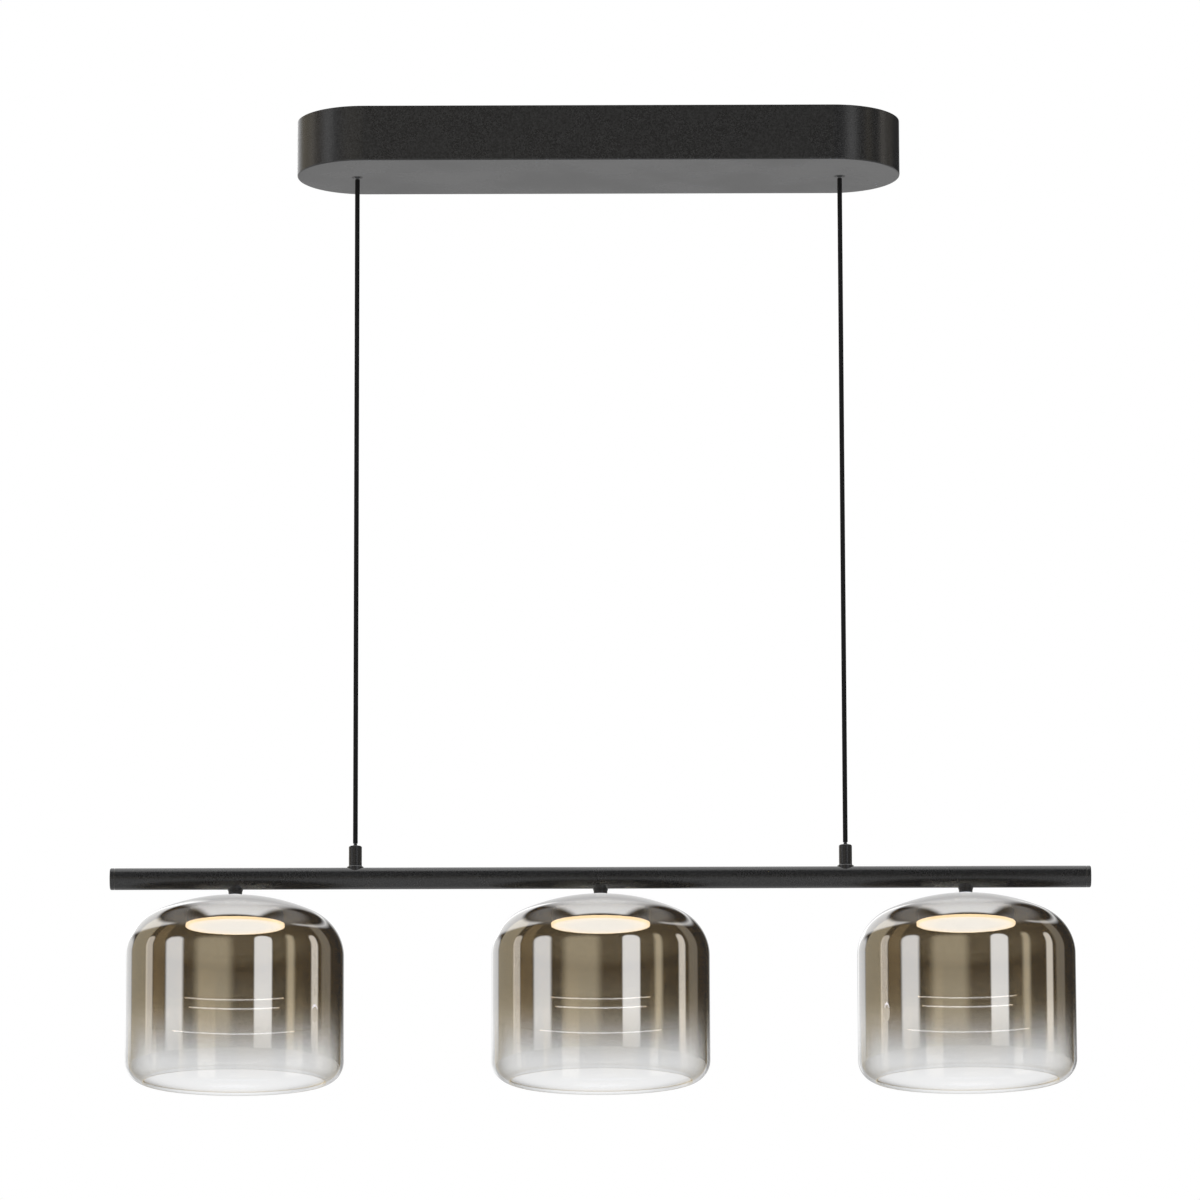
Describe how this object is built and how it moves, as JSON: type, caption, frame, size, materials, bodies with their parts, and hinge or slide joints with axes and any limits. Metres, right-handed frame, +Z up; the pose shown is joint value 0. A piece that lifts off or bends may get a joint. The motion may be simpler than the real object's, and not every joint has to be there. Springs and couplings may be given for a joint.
{
  "type": "linear island pendant light",
  "caption": "Linear island pendant: obround ceiling canopy, parallel cables, slim bar and a row of smoked glass dome shades with lit LED discs.",
  "frame": {"origin": "centre of the canopy's ceiling face, on the top of the ceiling bracket", "axes": "+X along the bar, +Y towards the back of the light, +Z up out of the ceiling face; the light hangs in -Z"},
  "size_m": [0.9, 0.2, 0.9048],
  "materials": {
    "satin_black": "satin black powder coat with a fine grain",
    "turned_black": "semi-gloss black on turned metal",
    "cable_jacket": "matt black cable jacket",
    "smoked_glass": "smoked mirror glass, dark at the top and fading to clear at the rim",
    "lit_opal": "opal diffuser, lit warm white",
    "cast_aluminium": "bead-blasted aluminium",
    "zinc_steel": "zinc-plated steel",
    "clear_silicone": "translucent silicone",
    "black_nylon": "moulded black nylon",
    "white_plastic": "moulded white plastic",
    "circuit_board": "white-masked circuit board",
    "wire": "silicone-sleeved wire"
  },
  "bodies": {
    "canopy": {"canopy_cover": "satin_black", "canopy_side_screws": "satin_black", "ceiling_bracket": "zinc_steel", "driver_housing": "white_plastic", "driver_lid": "white_plastic", "driver_board": "circuit_board", "driver_screws": "zinc_steel", "driver_lead": "wire", "terminal_block": "white_plastic", "earth_screw": "zinc_steel", "left_canopy_lead": "wire", "right_canopy_lead": "wire", "left_exit_gland": "black_nylon", "left_gland_cap": "black_nylon", "right_exit_gland": "black_nylon", "right_gland_cap": "black_nylon"},
    "exit_bushes": {"left_swivel_bush": "turned_black", "right_swivel_bush": "turned_black"},
    "left_cable": {"left_cable": "cable_jacket"},
    "right_cable": {"right_cable": "cable_jacket"},
    "light_bar": {"bar_tube": "satin_black", "left_end_cap": "satin_black", "right_end_cap": "satin_black", "left_cable_grip": "turned_black", "right_cable_grip": "turned_black", "left_grip_nut": "zinc_steel", "right_grip_nut": "zinc_steel", "nipple_nuts": "zinc_steel", "lock_nuts": "zinc_steel", "bar_lead": "wire", "feed_leads": "wire", "drop_leads": "wire", "left_nipple": "zinc_steel", "left_collar": "turned_black", "left_glass_washer": "clear_silicone", "left_shade": "smoked_glass", "left_inner_washer": "clear_silicone", "left_heat_sink": "cast_aluminium", "left_led_board": "circuit_board", "left_diffuser": "lit_opal", "middle_nipple": "zinc_steel", "middle_collar": "turned_black", "middle_glass_washer": "clear_silicone", "middle_shade": "smoked_glass", "middle_inner_washer": "clear_silicone", "middle_heat_sink": "cast_aluminium", "middle_led_board": "circuit_board", "middle_diffuser": "lit_opal", "right_nipple": "zinc_steel", "right_collar": "turned_black", "right_glass_washer": "clear_silicone", "right_shade": "smoked_glass", "right_inner_washer": "clear_silicone", "right_heat_sink": "cast_aluminium", "right_led_board": "circuit_board", "right_diffuser": "lit_opal"}
  },
  "joints": [
    {"name": "swing", "type": "hinge", "parent": "canopy", "child": "exit_bushes", "pos_m": [0, 0, -0.05], "axis": [1, 0, 0], "range_deg": [-20, 20]},
    {"name": "sway", "type": "hinge", "parent": "exit_bushes", "child": "left_cable", "pos_m": [-0.225, 0, -0.05], "axis": [0, 1, 0], "range_deg": [-20, 20]},
    {"name": "right_cable_sway", "type": "hinge", "parent": "exit_bushes", "child": "right_cable", "pos_m": [0.225, 0, -0.05], "axis": [0, 1, 0], "range_deg": [-20, 20]},
    {"name": "bar_levelling", "type": "hinge", "parent": "left_cable", "child": "light_bar", "pos_m": [-0.225, 0, -0.686], "axis": [0, 1, 0], "range_deg": [-20, 20]}
  ],
  "couplings": [
    {"joint": "right_cable_sway", "follows": "sway", "ratio": 1},
    {"joint": "bar_levelling", "follows": "sway", "ratio": -1}
  ]
}
